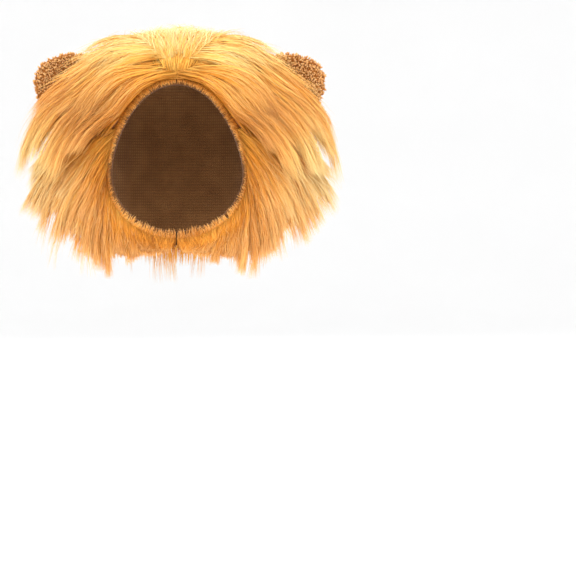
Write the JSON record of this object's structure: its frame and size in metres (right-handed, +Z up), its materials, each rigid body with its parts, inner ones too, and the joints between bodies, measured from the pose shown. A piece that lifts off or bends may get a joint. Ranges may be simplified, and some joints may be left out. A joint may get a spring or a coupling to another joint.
{
  "type": "pet lion mane wig",
  "caption": "Plush pet hood with a face opening and two round ears, covered all round in deep swept locks of mane fur.",
  "frame": {"origin": "the underside of the hood's crown, where it sits on a head", "axes": "+Z up, the face opening looks toward -Y, +X to the viewer's right as seen from the front"},
  "size_m": [0.2286, 0.1676, 0.1899],
  "materials": {
    "plush_cloth": "short tan plush, matt",
    "rolled_edge": "soft brown rolled edge, matt",
    "closing_tab": "brown hook-and-loop tape",
    "ear_plush": "curly tan plush with lighter tips",
    "golden_fur": "long silky golden fur",
    "amber_fur": "long silky amber fur with pale tips",
    "pale_fur": "long silky pale yellow fur"
  },
  "bodies": {
    "root": {"hood_shell": "plush_cloth", "face_binding": "rolled_edge", "neck_binding": "rolled_edge", "chin_tab": "closing_tab", "ear_left": "ear_plush", "ear_right": "ear_plush", "upper_mane_left": "golden_fur", "upper_mane_right": "golden_fur", "lower_mane_left": "amber_fur", "lower_mane_right": "amber_fur", "brow_locks_left": "pale_fur", "brow_locks_right": "pale_fur", "crown_tuft": "pale_fur", "back_mane": "golden_fur"}
  },
  "joints": []
}
